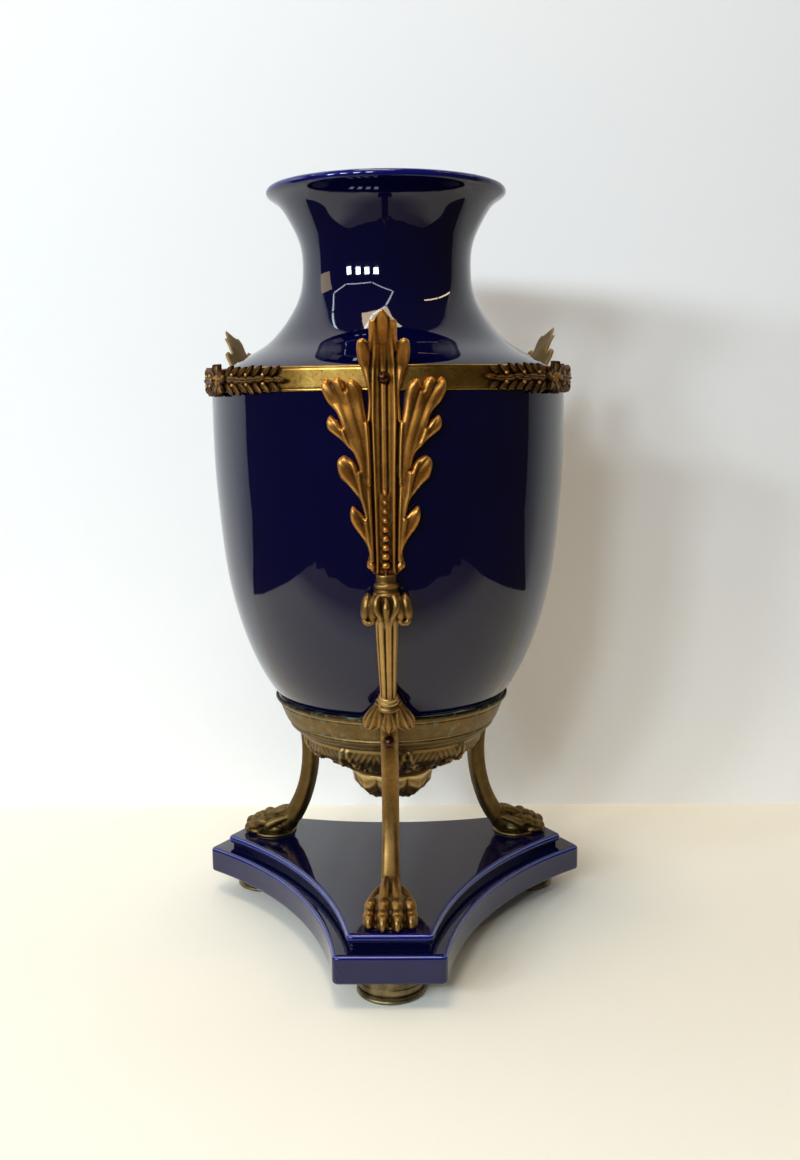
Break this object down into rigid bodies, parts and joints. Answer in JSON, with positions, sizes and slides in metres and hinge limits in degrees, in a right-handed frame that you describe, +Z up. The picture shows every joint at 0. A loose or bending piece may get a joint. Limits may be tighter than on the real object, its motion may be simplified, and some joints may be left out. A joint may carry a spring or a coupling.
{
  "type": "urn vase",
  "caption": "Tall blue glazed urn vase in bronze mounts: acanthus leaves, fluted shafts and lion-paw legs on a concave-sided plinth with round feet.",
  "frame": {"origin": "on the vase's axis, at the plane that the three feet stand on", "axes": "+Z up the vase's axis to the mouth; -Y towards the front leg; +X to the right of it"},
  "size_m": [0.2734, 0.2649, 0.5],
  "materials": {
    "cobalt_glaze": "high gloss cobalt glaze, thin and pale on the arrises",
    "gilt_bronze": "worn gilding, dark in the hollows",
    "aged_bronze": "brown patina with green spots",
    "polished_brass": "polished, lightly tarnished",
    "foot_brass": "dark tarnish",
    "dark_nut": "brown, dull",
    "pin_brass": "dull",
    "plaster": "chalky plaster",
    "steel": "plain turned steel",
    "leather": "thin hide washer"
  },
  "bodies": {
    "root": {"acanthus_leaf_front": "gilt_bronze", "acanthus_leaf_rear_left": "gilt_bronze", "acanthus_leaf_rear_right": "gilt_bronze", "bowl_cup": "aged_bronze", "bowl_rim": "aged_bronze", "dome_nuts": "dark_nut", "foot_front": "foot_brass", "foot_rear_left": "foot_brass", "foot_rear_right": "foot_brass", "garland_pins": "pin_brass", "knee_bolts": "pin_brass", "knee_nuts": "dark_nut", "knee_pins": "pin_brass", "laurel_garland_back": "gilt_bronze", "laurel_garland_front_left": "gilt_bronze", "laurel_garland_front_right": "gilt_bronze", "leaf_foot_pins": "pin_brass", "leaf_studs": "pin_brass", "leg_shaft_front": "gilt_bronze", "leg_shaft_rear_left": "gilt_bronze", "leg_shaft_rear_right": "gilt_bronze", "paw_leg_front": "aged_bronze", "paw_leg_rear_left": "aged_bronze", "paw_leg_rear_right": "aged_bronze", "paw_studs": "steel", "pendant_boss": "aged_bronze", "petal_collar_front": "gilt_bronze", "petal_collar_rear_left": "gilt_bronze", "petal_collar_rear_right": "gilt_bronze", "plaster_bed": "plaster", "plinth": "cobalt_glaze", "rod_leather": "leather", "rod_nut": "steel", "rod_washer": "steel", "rosette_back": "gilt_bronze", "rosette_front_left": "gilt_bronze", "rosette_front_right": "gilt_bronze", "rosette_screws": "pin_brass", "shoulder_band": "polished_brass", "tie_rod": "steel", "vase_body": "cobalt_glaze"}
  },
  "joints": []
}
